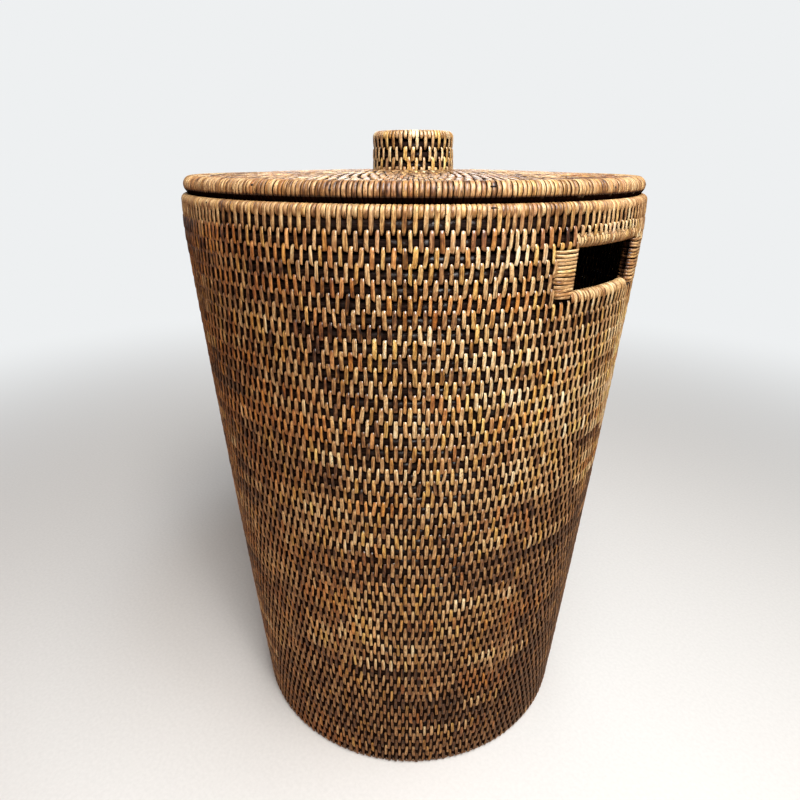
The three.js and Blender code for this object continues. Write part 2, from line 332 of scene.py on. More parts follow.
def run_tints(count, shift=0.0, contrast=1.0):
    """Tone, warmth and a seed for each of a row's stitches. contrast scales how far its runs differ."""
    tone = 0.56 + shift + rng.normal(0, 0.03) + 0.07 * drift(count, 9)
    warmth = 0.5 + 0.1 * drift(count, 11)
    at = rng.integers(0, 12)
    while at < count:
        run = rng.integers(4, 13)
        kind = rng.random()
        if kind < 0.2:
            tone[at:at + run] += rng.uniform(0.14, 0.34)
            warmth[at:at + run] -= rng.uniform(0.0, 0.12)
        elif kind < 0.34:
            tone[at:at + run] -= rng.uniform(0.14, 0.42)
        elif kind < 0.44:
            warmth[at:at + run] += rng.uniform(0.15, 0.35)
        elif kind < 0.54:
            warmth[at:at + run] -= rng.uniform(0.15, 0.35)
        at += run + rng.integers(0, 9)
    tone = tone.mean() + contrast * (tone - tone.mean())
    odd = rng.random(count)
    tone += rng.normal(0, 0.07, count) - 0.3 * (odd < 0.03)
    warmth += rng.normal(0, 0.11, count) + 0.35 * ((odd > 0.03) & (odd < 0.07))
    return with_seeds(tone, warmth)


def wrap_tints(count, level):
    """The same for wraps laid side by side, with a few darker runs."""
    tone = level + 0.045 * drift(count, 12) + rng.normal(0, 0.075, count)
    warmth = 0.44 + 0.1 * drift(count, 15) + rng.normal(0, 0.09, count)
    for start in rng.integers(0, count, max(1, count // 45)):
        tone[start:start + rng.integers(2, 5)] -= rng.uniform(0.05, 0.22)
    return with_seeds(tone, warmth)


def even_tints(count, level, spread=0.08):
    """Tone, warmth and a seed for strips that were picked to match."""
    tone, warmth = rng.normal(level, spread, count), rng.normal(0.5, 0.12, count)
    return with_seeds(tone, warmth)


def next_row(angles, target):
    """Angles halfway between the last row's, with two in one gap where the row gains a stitch."""
    gaps = np.diff(np.append(angles, angles[0] + TURN))
    extra = max(0, min(target - len(angles), len(angles)))
    doubled = np.zeros(len(angles), bool)
    doubled[np.argsort(gaps * rng.uniform(0.85, 1, len(gaps)))[len(gaps) - extra:]] = True
    single = angles[~doubled] + gaps[~doubled] / 2
    first = angles[doubled] + gaps[doubled] * 0.3
    second = angles[doubled] + gaps[doubled] * 0.7
    row = np.sort(np.concatenate([single, first, second]))
    for _ in range(2):
        after = np.append(row[1:], row[0] + TURN)
        before = np.insert(row[:-1], 0, row[-1] - TURN)
        row = row + 0.3 * ((after + before) / 2 - row)
    return row


def bridge(strips, angles, start, end, side, tints, shares=RING_SHARES, overrun=STITCH_OVERRUN):
    """Stitches from one coil's crest to the next, each tucked in at both ends. start and end are
    (radius, height) on the two crests, and side says to which side of that line the stitch faces."""
    n = len(angles)
    start, end = np.array(start), np.array(end)
    span = np.linalg.norm(end - start)
    run = (end - start) / span
    face = side * np.array([-run[1], run[0]])
    u = shares[None]
    first = STITCH_START + rng.normal(0, START_SPREAD, (n, 1))
    last = span + np.reshape(overrun, (-1, 1)) + rng.normal(0, END_SPREAD, (n, 1))
    along = first + (last - first) * u
    lift = STITCH_SLOPE * (0.35 - u) + STITCH_BULGE * np.sin(math.pi * u)
    lift = lift + rng.normal(0, LIFT_SPREAD, (n, 1))
    lift = lift - TUCK_TOP * (1 - smooth(u / 0.19)) ** 1.5 - TUCK_TAIL * smooth((u - 0.75) / 0.25) ** 1.5
    radius = start[0] + run[0] * along + face[0] * lift
    height = start[1] + run[1] * along + face[1] * lift
    tilt = STITCH_TILT + rng.normal(0, TILT_SPREAD, (n, 1))
    tail = TAIL_BEND + rng.normal(0, TAIL_SPREAD, (n, 1))
    sideways = np.tan(tilt) * (span / 2 - along) + tail * smooth((u - 0.6) / 0.4)
    angle = angles[:, None] + sideways / np.maximum(radius, LEAST_RADIUS)
    gaps = np.diff(np.append(angles, angles[0] + TURN)) * np.maximum(start[0], LEAST_RADIUS)
    room = np.minimum(gaps, np.roll(gaps, 1))
    half = np.minimum(STITCH_WIDTH * rng.uniform(*WIDTH_SHARES, n), room * ROOM_SHARE)[:, None] / 2
    blunt = rng.uniform(*BLUNT_SHARES, (n, 1))
    point = rng.uniform(*POINT_SHARES, (n, 1))
    half = half * (1 - point * (1 - smooth(u / 0.3))) * (1 - blunt * smooth((u - 0.88) / 0.12))
    half = half * rng.normal(1, EDGE_WAVER, (n, u.shape[1]))
    slant = rng.normal(0.25, 0.3, (n, 1)) * smooth((u - 0.8) / 0.2)
    slant = side * (slant + rng.normal(0, 0.25, (n, 1)) * (u == 0))
    strips.polar(angle, radius, height, math.atan2(face[1], face[0]), half, STRIP, tints, slant)


def ring(strips, coil, steps=RING_STEPS, span=None):
    """A round cane bent into a level ring, or into an arc that spans from one angle to another.
    coil is (radius, height, half depth, half height)."""
    radius, height, depth, tall = coil
    turn = (np.linspace(*span, steps) if span else full_turn(steps))[None]
    wave = 0 if span else CANE_WAVE * np.sin(turn * 23 + height * 900)
    up, out = turned(turn, 0, 0, 1), turned(turn, 1, 0, 0)
    strips.add(turned(turn, radius + wave, 0, height), up, out, tall, depth, [(0.5, 0.5, rng.random())])


def wrap_path(centre, tube, angles, radii=(), heights=()):
    """Rings of a strip laid round a tube's section at these angles, then on through these places."""
    radius = np.append(centre[0] + tube * np.cos(angles), radii)
    height = np.append(centre[1] + tube * np.sin(angles), heights)
    tilt = np.append(angles, np.zeros(len(radii)))
    return radius[None], height[None], tilt[None]


# Materials
def srgb(red, green, blue):
    """A colour written as on a screen, 0 to 255, as the shader takes it."""
    shares = [channel / 255 for channel in (red, green, blue)]
    return tuple(c / 12.92 if c <= 0.04045 else ((c + 0.055) / 1.055) ** 2.4 for c in shares) + (1.0,)


class Nodes:
    """A small helper that adds nodes to one material or world."""

    def __init__(self, owner):
        owner.use_nodes = True
        self.owner = owner
        self.tree = owner.node_tree
        self.tree.nodes.clear()

    def node(self, kind, inputs=None, **settings):
        node = self.tree.nodes.new(kind)
        for key, value in settings.items():
            setattr(node, key, value)
        for key, value in (inputs or {}).items():
            if isinstance(value, bpy.types.NodeSocket):
                self.tree.links.new(value, node.inputs[key])
            else:
                node.inputs[key].default_value = value
        return node

    def add(self, kind, inputs=None, output=0, **settings):
        return self.node(kind, inputs, **settings).outputs[output]

    def math(self, operation, first, second=0.0, third=0.0, clamp=False):
        inputs = {0: first, 1: second, 2: third}
        return self.add("ShaderNodeMath", inputs, operation=operation, use_clamp=clamp)

    def times(self, first, second):
        return self.math("MULTIPLY", first, second)

    def most(self, first, *others):
        for value in others:
            first = self.math("MAXIMUM", first, value)
        return first

    def ramp(self, value, low, high, to_low=0.0, to_high=1.0):
        inputs = {"Value": value, "From Min": low, "From Max": high, "To Min": to_low, "To Max": to_high}
        return self.add("ShaderNodeMapRange", inputs, interpolation_type="SMOOTHSTEP")

    def mix(self, factor, first, second, blend="MIX"):
        inputs = {0: factor, 6: first, 7: second}
        return self.add("ShaderNodeMix", inputs, 2, data_type="RGBA", blend_type=blend)

    def colours(self, value, stops):
        """Each stop is a position and the colour there, as red, green and blue on a screen."""
        node = self.node("ShaderNodeValToRGB", {"Fac": value})
        elements = node.color_ramp.elements
        while len(elements) < len(stops):
            elements.new(0.5)
        for element, (position, *colour) in zip(elements, stops):
            element.position = position
            element.color = srgb(*colour)
        return node.outputs["Color"]

    def parts(self, attribute):
        vector = self.add("ShaderNodeAttribute", output="Vector", attribute_name=attribute)
        return self.node("ShaderNodeSeparateXYZ", {0: vector}).outputs

    def vector(self, x, y, z):
        return self.add("ShaderNodeCombineXYZ", {0: x, 1: y, 2: z})

    def noise(self, vector, scale, detail=2.0):
        return self.add("ShaderNodeTexNoise", {"Vector": vector, "Scale": scale, "Detail": detail})

    def blend(self, share, first, second):
        return self.add("ShaderNodeMixShader", {0: share, 1: first, 2: second})

    def finish(self, inputs):
        self.node("ShaderNodeOutputMaterial", {"Surface": self.add("ShaderNodeBsdfPrincipled", inputs)})
        return self.owner


def new_shader(name):
    return Nodes(bpy.data.materials.new(name))


RATTAN_TONES = (
    (0.0, 13, 6, 3),
    (0.1, 44, 26, 17),
    (0.22, 98, 63, 38),
    (0.45, 162, 118, 74),
    (0.68, 212, 173, 121),
    (0.86, 236, 207, 158),
    (1.0, 248, 231, 192),
)
# Dark colour for grain lines, pores and splits, also used as painted shade on the sides and ends of strips
STAIN_AND_SHADE = srgb(44, 22, 9)
PINK_GREY = srgb(222, 186, 178)
AMBER = srgb(255, 202, 134)
GOLD = srgb(254, 240, 165)
# Painted shade for the lower side of the dark canes
CANE_SHADE_BLACK = srgb(7, 3, 2)


def rattan(name, fade=1.0, gold=0.75, gloss=0.6, tip_gloss=1.0):
    """Lacquered split rattan: lengthwise grain, dark pores, sides and ends darkened partly by real staining
    and partly as painted shade, one tone a strip.
    """
    shader = new_shader(name)
    times, ramp, most = shader.times, shader.ramp, shader.most
    tone, warmth, seed = shader.parts("strip")[:3]
    across, along, share = shader.parts("place")[:3]
    offset = times(seed, 53.0)

    def strip_noise(over, down, scale, detail=2.0):
        """Noise that differs from strip to strip; over and down say how fast it changes each way."""
        place = shader.vector(times(across, over), times(along, down), offset)
        return shader.noise(place, scale, detail)

    grain = strip_noise(0.75, 0.08, 1.5)
    streak = strip_noise(1.5, 0.1, 1.2)
    fibre = strip_noise(5.0, 0.12, 1.3)
    blotch = strip_noise(1.0, 0.4, 0.8, 3.0)
    pores = strip_noise(1.4, 0.8, 1.0, 1.0)
    uneven = shader.math("MULTIPLY_ADD", grain, 0.95, shader.math("MULTIPLY_ADD", blotch, 0.56, -0.755))
    uneven = times(uneven, ramp(tone, 0.0, 0.25))
    colour = shader.colours(shader.math("ADD", tone, uneven, clamp=True), RATTAN_TONES)
    cool = ramp(warmth, 0.42, 0.0, 0.0, 0.75)
    warm = ramp(warmth, 0.6, 1.0, 0.0, 0.7)
    golden = ramp(shader.math("FRACT", times(seed, 7.3)), 0.55, 0.95, 0.0, gold)
    for factor, glaze in ((cool, PINK_GREY), (warm, AMBER), (golden, GOLD)):
        colour = shader.mix(factor, colour, glaze, "MULTIPLY")
    lines = most(ramp(streak, 0.34, 0.44, 0.5, 0.0), ramp(fibre, 0.34, 0.46, 0.4, 0.0))
    # Sides and ends turn towards the dark colour: partly real staining, partly painted shade where a strip
    # meets the gaps and tucks under
    edges = ramp(shader.math("ABSOLUTE", across), 0.78, 1.0, 0.0, 0.7 * fade)
    ends = most(ramp(share, 0.0, 0.17, 0.8, 0.0), ramp(share, 0.93, 1.0, 0.0, 0.5))
    ends = times(ends, fade)
    pores = ramp(pores, 0.66, 0.72, 0.0, 0.75)
    split = shader.math("ABSOLUTE", shader.math("SUBTRACT", across, shader.math("SINE", offset)))
    split = times(ramp(split, 0.22, 0.08), ramp(seed, 0.6, 0.64))
    stain_and_shade = most(lines, edges, ends, pores, times(split, 0.7))
    colour = shader.mix(stain_and_shade, colour, STAIN_AND_SHADE)
    bumps = shader.math("MULTIPLY_ADD", split, -0.8, fibre)
    normal = shader.add("ShaderNodeBump", {"Strength": 0.35, "Distance": 0.12 * MM, "Height": bumps})
    roughness = ramp(grain, 0.25, 0.8, 0.36, 0.58)
    lacquered = ramp(tone, 0.0, 0.08)
    coat = times(lacquered, ramp(share, 0.2, 0.08, gloss, tip_gloss))
    return shader.finish({
        "Base Color": colour, "Roughness": roughness, "Normal": normal,
        "Specular IOR Level": times(lacquered, 0.5),
        "Coat Weight": coat, "Coat Roughness": 0.14,
    })


def dark_cane():
    """Round dark-stained cane, black on its lower side as painted shade, with patches of lacquer."""
    shader = new_shader("dark_cane")
    across, along = shader.parts("place")[:2]
    fibre = shader.noise(shader.vector(shader.times(across, 5.0), shader.times(along, 0.05), 0.0), 1.5, 3.0)
    colour = shader.colours(fibre, ((0.3, 13, 6, 4), (0.5, 26, 15, 11), (0.78, 54, 39, 31)))
    # Painted shade: the lower side of the cane turns black
    upper = shader.ramp(across, -0.15, 0.4)
    colour = shader.mix(upper, CANE_SHADE_BLACK, colour)
    normal = shader.add("ShaderNodeBump", {"Strength": 0.3, "Distance": 0.15 * MM, "Height": fibre})
    roughness = shader.ramp(fibre, 0.3, 0.8, 0.55, 0.75)
    patch = shader.noise(shader.add("ShaderNodeTexCoord", output="Object"), 210.0)
    return shader.finish({
        "Base Color": colour, "Roughness": roughness, "Normal": normal,
        "Specular IOR Level": 0.02, "Coat Roughness": 0.3,
        "Coat Weight": shader.times(upper, shader.ramp(patch, 0.5, 0.68, 0.0, 0.5)),
    })


def nail_metal():
    shader = new_shader("nail_metal")
    spot = shader.add("ShaderNodeTexNoise", {"Scale": 900.0, "Detail": 2.0})
    colour = shader.colours(spot, ((0.35, 15, 9, 7), (0.7, 62, 45, 36)))
    roughness = shader.ramp(spot, 0.3, 0.7, 0.4, 0.65)
    return shader.finish({"Base Color": colour, "Metallic": 0.4, "Roughness": roughness})


wall_rattan = rattan("wall_rattan")
wrap_rattan = rattan("wrap_rattan", 0.75, 0.4, 0.12, 0.12)
lid_rattan = rattan("lid_rattan")
cane = dark_cane()
nail_finish = nail_metal()


# Wall
def stitch_rows():
    """Stitch angles for each groove: under the lowest coil, between coils, and up to the rim."""
    heights, counts = zip(*STITCH_COUNTS)
    row = full_turn(counts[0])
    found = [row]
    for groove in range(1, ROW_COUNT + 1):
        row = next_row(row, round(float(np.interp(groove * ROW_PITCH, heights, counts))))
        found.append(row)
    return found


def from_slot(angles):
    """How far each angle is from the middle of the nearer hand slot."""
    past = np.mod(angles, math.pi)
    return np.minimum(past, math.pi - past)


def crest(row, inside=False):
    z = coil_z(row)
    depth = WALL_THICKNESS - STRIP if inside else STRIP
    return (wall_radius(z) - depth, z)


HEADER_SHORTFALL = -2.3 * MM
JAMB_SHORTFALL = -4.6 * MM
JAMB_REACH = JAMB_ANGLE + (JAMB_WIDTH / 2 - 0.5 * MM) / RIM_RADIUS
INSIDE_SHADE = (0.14, 0, 0)
INSIDE_TURN = 0.4 * FLAT_STITCH_PITCH / RIM_RADIUS
DARKEST = 0.17
# Angles round the hamper where painted shade darkens the wall low down, and where painted shade with a
# reddish bounce darkens it
SHADED_SIDE = math.radians(25)
RED_SHADE_SIDE = math.radians(-115)
WALL_BANDS = ((0, 12), (12, 24), (24, 36), (36, 46), (46, ROW_COUNT - 1))
all_rows = stitch_rows()


def keep_mask(groove, angles):
    """False where a slot, its jambs or its wrapped sill take the place of the stitches."""
    away = from_slot(angles)
    if groove == HEADER_ROW - 1:
        return away > SLOT_ANGLE + 1 * MM / RIM_RADIUS
    if SILL_ROW <= groove < HEADER_ROW:
        return away > JAMB_REACH
    if groove == SILL_ROW - 1:
        return away > SLOT_ANGLE
    return np.ones(len(angles), bool)


def painted_light_and_shade(angles, height):
    """Painted light and shade on a row: painted light makes it paler high up, painted shade darkens it low
    beside the right slot, and painted shade with a reddish bounce darkens it to the left of the front."""
    high = smooth((height - 250 * MM) / (80 * MM))
    low = 1 - smooth((height - 240 * MM) / (160 * MM))
    beside = (0.5 + 0.5 * np.cos(angles - SHADED_SIDE)) ** 5
    left = (0.5 + 0.5 * np.cos(angles - RED_SHADE_SIDE)) ** 4
    tone = 0.1 * high - 0.39 * low * beside - (0.17 + 0.13 * high) * left
    return np.stack([tone, 0.34 * left, np.zeros(len(angles))], axis=1)


def row_tints(angles, height):
    """Tints for the wall's stitches at this height: darker at the foot, with calmer runs near the rim,
    and with painted light and shade added.
    """
    shade = -0.1 * (1 - min(1, height / (120 * MM)))
    calm = 1 - 0.45 * smooth((height / MM - 380) / 60)
    tints = run_tints(len(angles), shade, calm)
    return np.clip(tints + painted_light_and_shade(angles, height), (DARKEST, 0, 0), 1)


def wall_stitches():
    for band, (first, last) in enumerate(WALL_BANDS, 1):
        outside = Strips(CROWNED)
        inside = Strips(PLAIN)
        for groove in range(first, last):
            angles = all_rows[groove + 1]
            keep = keep_mask(groove, angles)
            tints = row_tints(angles, groove * ROW_PITCH)
            over_header = (groove == HEADER_ROW) & (from_slot(angles) < RAIL_REACH)
            over_jamb = (groove == HEADER_ROW - 1) & (from_slot(angles) < JAMB_REACH)
            plain = STITCH_OVERRUN if groove > 0 else FOOT_OVERRUN
            overrun = np.where(over_header, HEADER_SHORTFALL, plain)
            overrun = np.where(over_jamb, JAMB_SHORTFALL, overrun)[keep]
            bridge(outside, angles[keep], crest(groove + 1), crest(groove), 1, tints[keep], overrun=overrun)
            ends = crest(groove + 1, True), crest(groove, True)
            inner, shades = angles[keep] + INSIDE_TURN, tints[keep] - INSIDE_SHADE
            bridge(inside, inner, *ends, -1, shades, PLAIN_SHARES, overrun=plain)
        outside.build(f"wall_stitches_{band}", "hamper", "rattan_wall", wall_rattan)
        inside.build(f"wall_inner_stitches_{band}", "hamper", "rattan_wall", wall_rattan)


def wall_canes():
    tall = np.full(ROW_COUNT, ROW_PITCH / 2 + CANE_OVERLAP)
    tall[0] = coil_z(0) - FOOT_CANE_GAP
    tall[-1] += RIM_REACH
    lower, upper = Strips(ROUND, closed=True), Strips(ROUND, closed=True)
    cut = Strips(ROUND)
    for row in range(ROW_COUNT):
        z = coil_z(row)
        coil = (middle_radius(z), z, CANE_DEPTH, tall[row])
        if SILL_ROW < row < HEADER_ROW:
            for side in (0, math.pi):
                span = (side + JAMB_ANGLE, side + math.pi - JAMB_ANGLE)
                ring(cut, coil, RING_STEPS // 2, span)
        else:
            ring(lower if row < ROW_COUNT // 2 else upper, coil)
    lower.build("wall_canes_lower", "hamper", "rattan_wall", cane, ["lower_wall"])
    upper.build("wall_canes_upper", "hamper", "rattan_wall", cane, ["top_rows"])
    cut.build("wall_canes_beside_slots", "hamper", "rattan_wall", cane, ["front_slot_rows", "back_slot_rows"])


def foot_stitches():
    """The lowest row, bound round the coil that the hamper stands on."""
    angles = all_rows[0]
    z = coil_z(0)
    arc = np.linspace(0.12, -math.pi - 0.2, FOOT_RINGS)
    r = (middle_radius(z) + CANE_DEPTH * np.cos(arc))[None]
    h = (z + (z - FOOT_CLEARANCE) * np.sin(arc))[None]
    half = STITCH_WIDTH / 2 * rng.uniform(0.85, 1.1, (len(angles), 1))
    half = half * np.append(0.6, np.ones(FOOT_RINGS - 1))
    thickness = (0.7 + 0.25 * np.abs(np.cos(arc)))[None] * MM
    strips = Strips(CROWNED)
    strips.polar(angles[:, None], r, h, arc[None], half, thickness, run_tints(len(angles), -0.18))
    strips.build("foot_stitches", "hamper", "rattan_wall", wall_rattan)


# Rim and slot rails: every wrap covers the coil, and every second one runs on down as a stitch
def coil_wraps(strips, angles, centre, tube, tail_crest, short_end, width, tints, slant=0.0):
    """Wraps round a coil, from inside over its top. Every second one runs on down to tail_crest, and the
    others end at the height short_end. slant is how far a wrap leans from its middle to its ends."""
    over = np.linspace(math.radians(200), math.radians(-8), 11)
    tail_z = tail_crest[1] - STITCH_OVERRUN
    drops = np.linspace(centre[1] - 0.28 * (centre[1] - tail_z), tail_z, 5)
    outer = centre[0] + tube
    radii = outer + (tail_crest[0] - outer) * smooth(np.linspace(0.25, 1.2, 5))
    radii = radii - TUCK_TAIL * smooth(np.linspace(-0.4, 1, 5)) ** 1.3
    for first in (1, 0):
        if first:
            radius, height, tilt = wrap_path(centre, tube, over, radii, drops)
            taper = np.append(np.ones(len(over) + 2), (0.96, 0.8, 0.45))
        else:
            last = math.asin(max(-1, (short_end - centre[1]) / tube))
            radius, height, tilt = wrap_path(centre, tube, np.linspace(over[0], last, 16))
            radius[:, -1] -= 0.8 * MM
            taper = np.append(np.ones(13), (0.95, 0.8, 0.5))
        picked = angles[first::2, None]
        n, sweep = len(picked), np.linspace(-1, 1, radius.shape[1])[None]
        angle = picked + slant * sweep / centre[0] + rng.normal(0, 0.12 * MM, (n, 1)) / centre[0] * sweep
        half = width / 2 * taper[None] * rng.uniform(0.96, 1.04, (n, 1))
        rise = radius + rng.normal(0, 0.07 * MM, (n, 1))
        strips.polar(angle, rise, height, tilt, half, STRIP, tints[first::2])


def between(angles):
    """The angles with one more halfway in each gap, in turn: halfway, angle, halfway, angle."""
    gaps = np.diff(np.insert(angles, 0, angles[-1] - TURN))
    return np.stack([angles - gaps / 2, angles], axis=1).ravel()


def rim():
    angles = between(all_rows[-1])
    tube, low = RIM_TUBE - STRIP, RIM_CENTRE[1] - RIM_SHORT_END
    width = TURN * RIM_RADIUS / len(angles)
    strips = Strips(CROWNED)
    tints = wrap_tints(len(angles), 0.53)
    coil_wraps(strips, angles, RIM_CENTRE, tube, crest(ROW_COUNT - 1), low, width, tints, RIM_LEAN)
    strips.build("rim_wraps", "hamper", "rattan_wrap", wrap_rattan, ["rim_wrap"])
    core = Strips(ROUND, closed=True)
    ring(core, (*RIM_CENTRE, tube, tube))
    core.build("rim_core", "hamper", "dark_cane", cane, ["rim_cane"])


def slot_sill(side, base):
    z = coil_z(SILL_ROW)
    near = np.sort(np.mod(all_rows[SILL_ROW] - base + math.pi, TURN) - math.pi)
    near = between(near[np.abs(near) < RAIL_REACH + 0.05])
    near = base + near[np.abs(near) < RAIL_REACH]
    centre, low = (middle_radius(z), z), z - SILL_SHORT_END
    strips = Strips(CROWNED)
    tints = even_tints(len(near), 0.64)
    coil_wraps(strips, near, centre, RAIL_TUBE, crest(SILL_ROW - 1), low, STITCH_WIDTH, tints, SILL_LEAN)
    strips.build(f"{side}_sill_wraps", "hamper", "rattan_wrap", wrap_rattan, [f"{side}_slot_sill"])


def slot_header(side, base):
    z = coil_z(HEADER_ROW)
    radius = middle_radius(z)
    count = round(2 * SLOT_ANGLE * RIM_RADIUS / STITCH_WIDTH)
    at = base + np.linspace(-RAIL_REACH, RAIL_REACH, count)
    arc = np.linspace(math.radians(150), math.radians(-210), HEADER_RINGS)
    lean = (HEADER_LEAN * np.linspace(-1, 1, HEADER_RINGS) / radius)[None]
    r, h, tilt = wrap_path((radius, z), RAIL_TUBE, arc)
    half = HEADER_WRAP_WIDTH / 2 * rng.uniform(0.93, 1.03, (count, 1))
    r = r + rng.normal(0, 0.08 * MM, (count, 1))
    strips = Strips(CROWNED)
    strips.polar(at[:, None] + lean, r, h, tilt, half, STRIP, even_tints(count, 0.62))
    strips.build(f"{side}_header_wraps", "hamper", "rattan_wrap", wrap_rattan, [f"{side}_slot_header"])


def rounded_section(depth, width, corner, steps=4):
    """Points and normals round a rounded rectangle, one corner after the other, as rows of x and y."""
    turn = np.radians(np.add.outer((180, 270, 0, 90), np.linspace(0, 90, steps + 1))).ravel()
    normals = np.stack([np.cos(turn), np.sin(turn)])
    sides = np.repeat([(-1, 1, 1, -1), (-1, -1, 1, 1)], steps + 1, axis=1)
    reach = np.array([[depth], [width]]) / 2 - corner
    return sides * reach + corner * normals, normals


def jamb(angle, towards, node, level):
    """Wraps laid one on the next round the cut ends of the rows, leaning with the wall."""
    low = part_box(node)[0].z - JAMB_FOOT_DROP
    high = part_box(node)[1].z + JAMB_HEAD_RISE
    pitch = (high - low) / JAMB_WRAPS
    strips = Strips(CROWNED, closed=True)
    for wrap in range(JAMB_WRAPS):
        z = low + (wrap + 0.5) * pitch
        loose = rng.uniform(-0.4, 0.5) * MM
        spread = JAMB_SPREAD * wrap / JAMB_WRAPS
        width = JAMB_WIDTH + spread + loose - (JAMB_FOOT_TUCK if wrap == 0 else 0)
        (x, y), normals = rounded_section(JAMB_DEPTH - 2 * STRIP, width - 2 * STRIP, JAMB_CORNER)
        tilt = rng.normal(0, 0.32 * MM)
        sag = 0.3 * MM * rng.normal()
        height = z + tilt * y / (JAMB_WIDTH / 2) + sag * np.cos(y / JAMB_WIDTH * math.pi)
        shift = y + towards * (0.3 * loose + spread / 2)
        centre = turned(angle, middle_radius(z) + JAMB_OUT + x, shift, height)
        out = turned(angle, *normals, 0)
        up = np.broadcast_to((0, 0, 1), out.shape)
        tints = np.repeat(even_tints(1, level, 0.06)[:, None], len(x), axis=1)
        # Painted shade: each wrap turns darker on its side that faces into the slot, fading out towards the
        # outer face
        shaded_cheek = smooth(-towards * normals[1] - 0.2) * smooth(0.8 - x / (JAMB_DEPTH / 2))
        tints[0, :, 0] = np.clip(tints[0, :, 0] - JAMB_PAINTED_SHADE * shaded_cheek, 0, 1)
        strips.add(centre[None], up[None], out[None], pitch * 0.47 * rng.uniform(0.84, 1.03), STRIP, tints)
    strips.build(f"{node}_wraps", "hamper", "rattan_wrap", wrap_rattan, [node])
    core = Strips(ROUND)
    heights = np.linspace(low + 1 * MM, high - 0.5 * MM, 6)[None]
    sizes = (JAMB_WIDTH / 2 - JAMB_CORE_GAP, JAMB_DEPTH / 2 - JAMB_CORE_GAP)
    core.polar(angle, middle_radius(heights), heights, 0, *sizes, [(0.5, 0.5, 0.5)])
    core.build(f"{node}_core", "hamper", "dark_cane", cane)


def slot_frame(side, base):
    """The wrapped sill and header, and the two wrapped jambs, of the slot at this angle."""
    slot_sill(side, base)
    slot_header(side, base)
    # The back jamb is given a lower tone than the front one as painted shade
    for end, part, level in ((-1, "front_jamb", 0.6), (1, "back_jamb", 0.54)):
        towards = end if side == "right" else -end
        jamb(base + towards * JAMB_ANGLE, towards, f"{side}_slot_{part}", level)


# Coiled discs: the base and the lid
DISC_SHADE = -0.12
DISC_DARKEST = 0.27


def disc_rows(radius, pitch):
    """Radii of the grooves from the middle out, each with its stitch angles."""
    count = round(radius / pitch)
    step = radius / count
    row = full_turn(7)
    found = []
    for groove in range(1, count):
        row = next_row(row, round(TURN * groove * step / FLAT_STITCH_PITCH))
        found.append((groove * step, row))
    return step, found


def disc(name, body, slot, material, node, radius, face_z, thickness, hems=(None, None)):
    """A coiled disc, stitched on both sides. face_z(r) is its upper face. A hem is the place on the hoop
    round the disc, upper or lower side, where the outermost stitches of that side start."""
    step, grooves = disc_rows(radius, ROW_HEIGHT)
    canes = Strips(ROUND, closed=True)
    for row in range(round(radius / step)):
        r = (row + 0.5) * step
        coil = (r, face_z(r) - thickness / 2, step / 2, thickness / 2 - STRIP)
        ring(canes, coil, max(24, round(RING_STEPS * r / radius)))
    canes.build(f"{name}_canes", body, slot, cane, [node])
    outer_row = next_row(grooves[-1][1], round(TURN * radius / FLAT_STITCH_PITCH))
    for face, hem in zip((1, -1), hems):
        plain = face < 0
        strips = Strips(PLAIN if plain else CROWNED)
        drop = thickness - STRIP if plain else STRIP
        rows = grooves + [(radius, outer_row)] if hem else grooves
        for r, angles in rows:
            ends = [(q, face_z(q) - drop) for q in (r + step / 2, r - step / 2)]
            if r == radius:
                ends[0] = hem
            tints = np.clip(run_tints(len(angles), DISC_SHADE), (DISC_DARKEST, 0, 0), 1)
            bridge(strips, angles, *ends, -face, tints, PLAIN_SHARES if plain else RING_SHARES)
        strips.build(f"{name}_{'lower' if plain else 'upper'}_stitches", body, slot, material)


def base():
    low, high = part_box("base_panel")
    radius, crown = high.x, 3 * MM
    thickness = 8 * MM

    def face_z(r):
        return low.z + thickness + crown * (1 - (r / radius) ** 2)

    disc("base", "hamper", "rattan_wall", wall_rattan, "base_panel", radius, face_z, thickness)


# Lid
lid_low, lid_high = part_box("lid_wrap")
panel_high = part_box("lid_panel")[1]
LID_TUBE = (lid_high.z - lid_low.z) / 2
LID_RADIUS = lid_high.x
LID_CENTRE = (LID_RADIUS - LID_TUBE, (lid_low.z + lid_high.z) / 2)
LID_CROWN = 5 * MM
LID_THICKNESS = 9 * MM
LID_WRAP_PITCH = 3.55 * MM
LID_WRAP_RINGS = 24
LID_WRAP_SHARE = 0.462
# Where the lid rests, its wraps are thick and lie over each other, so that no light comes through, and
# painted shade makes them dark
SEAT_PAINTED_SHADE = 1.0
SEAT_SPREAD = 0.6
SEAT_SWELL = 0.7
LID_HEM = math.radians(122)
# The edge is darker round this angle, in degrees
EDGE_DARKENING = 0.15
EDGE_DARKENING_AT = 308
EDGE_DARKENING_REACH = 24


def lid_face_z(r):
    return panel_high.z - LID_CROWN * (r / panel_high.x) ** 2


